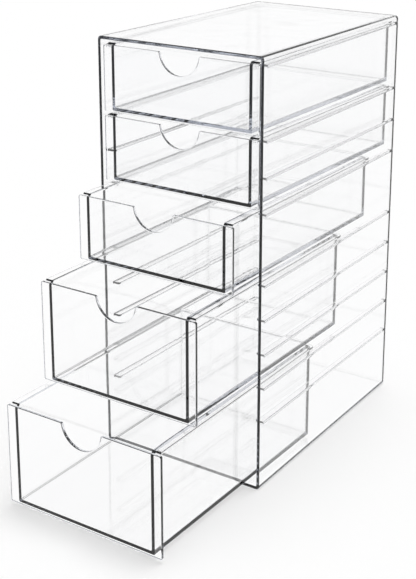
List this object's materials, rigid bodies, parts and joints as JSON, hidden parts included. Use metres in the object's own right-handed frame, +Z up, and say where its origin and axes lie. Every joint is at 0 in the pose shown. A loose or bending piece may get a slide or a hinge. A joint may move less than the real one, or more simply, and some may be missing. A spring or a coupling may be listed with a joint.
{
  "type": "drawer tower",
  "caption": "Tall clear plastic tower for make-up: an open-fronted case whose drawers hang by their rims on moulded side ledges, with round finger notches.",
  "frame": {"origin": "middle of the case's flat underside", "axes": "+X to the right seen from the front, +Y from the open front to the back, +Z up"},
  "size_m": [0.175, 0.4045, 0.4],
  "materials": {
    "clear_case": "polished clear plastic",
    "clear_drawer": "polished clear plastic"
  },
  "bodies": {
    "case": {"case_shell": "clear_case"},
    "top_drawer": {"top_drawer": "clear_drawer"},
    "second_drawer": {"second_drawer": "clear_drawer"},
    "third_drawer": {"third_drawer": "clear_drawer"},
    "fourth_drawer": {"fourth_drawer": "clear_drawer"},
    "bottom_drawer": {"bottom_drawer": "clear_drawer"}
  },
  "joints": [
    {"name": "top_drawer_slide", "type": "slide", "parent": "case", "child": "top_drawer", "axis": [0, -1, 0], "range_m": [-0.0024, 0.2]},
    {"name": "second_drawer_slide", "type": "slide", "parent": "case", "child": "second_drawer", "axis": [0, -1, 0], "range_m": [-0.0024, 0.2]},
    {"name": "third_drawer_slide", "type": "slide", "parent": "case", "child": "third_drawer", "axis": [0, -1, 0], "range_m": [-0.0424, 0.16]},
    {"name": "fourth_drawer_slide", "type": "slide", "parent": "case", "child": "fourth_drawer", "axis": [0, -1, 0], "range_m": [-0.0968, 0.1056]},
    {"name": "bottom_drawer_slide", "type": "slide", "parent": "case", "child": "bottom_drawer", "axis": [0, -1, 0], "range_m": [-0.1464, 0.056]}
  ]
}
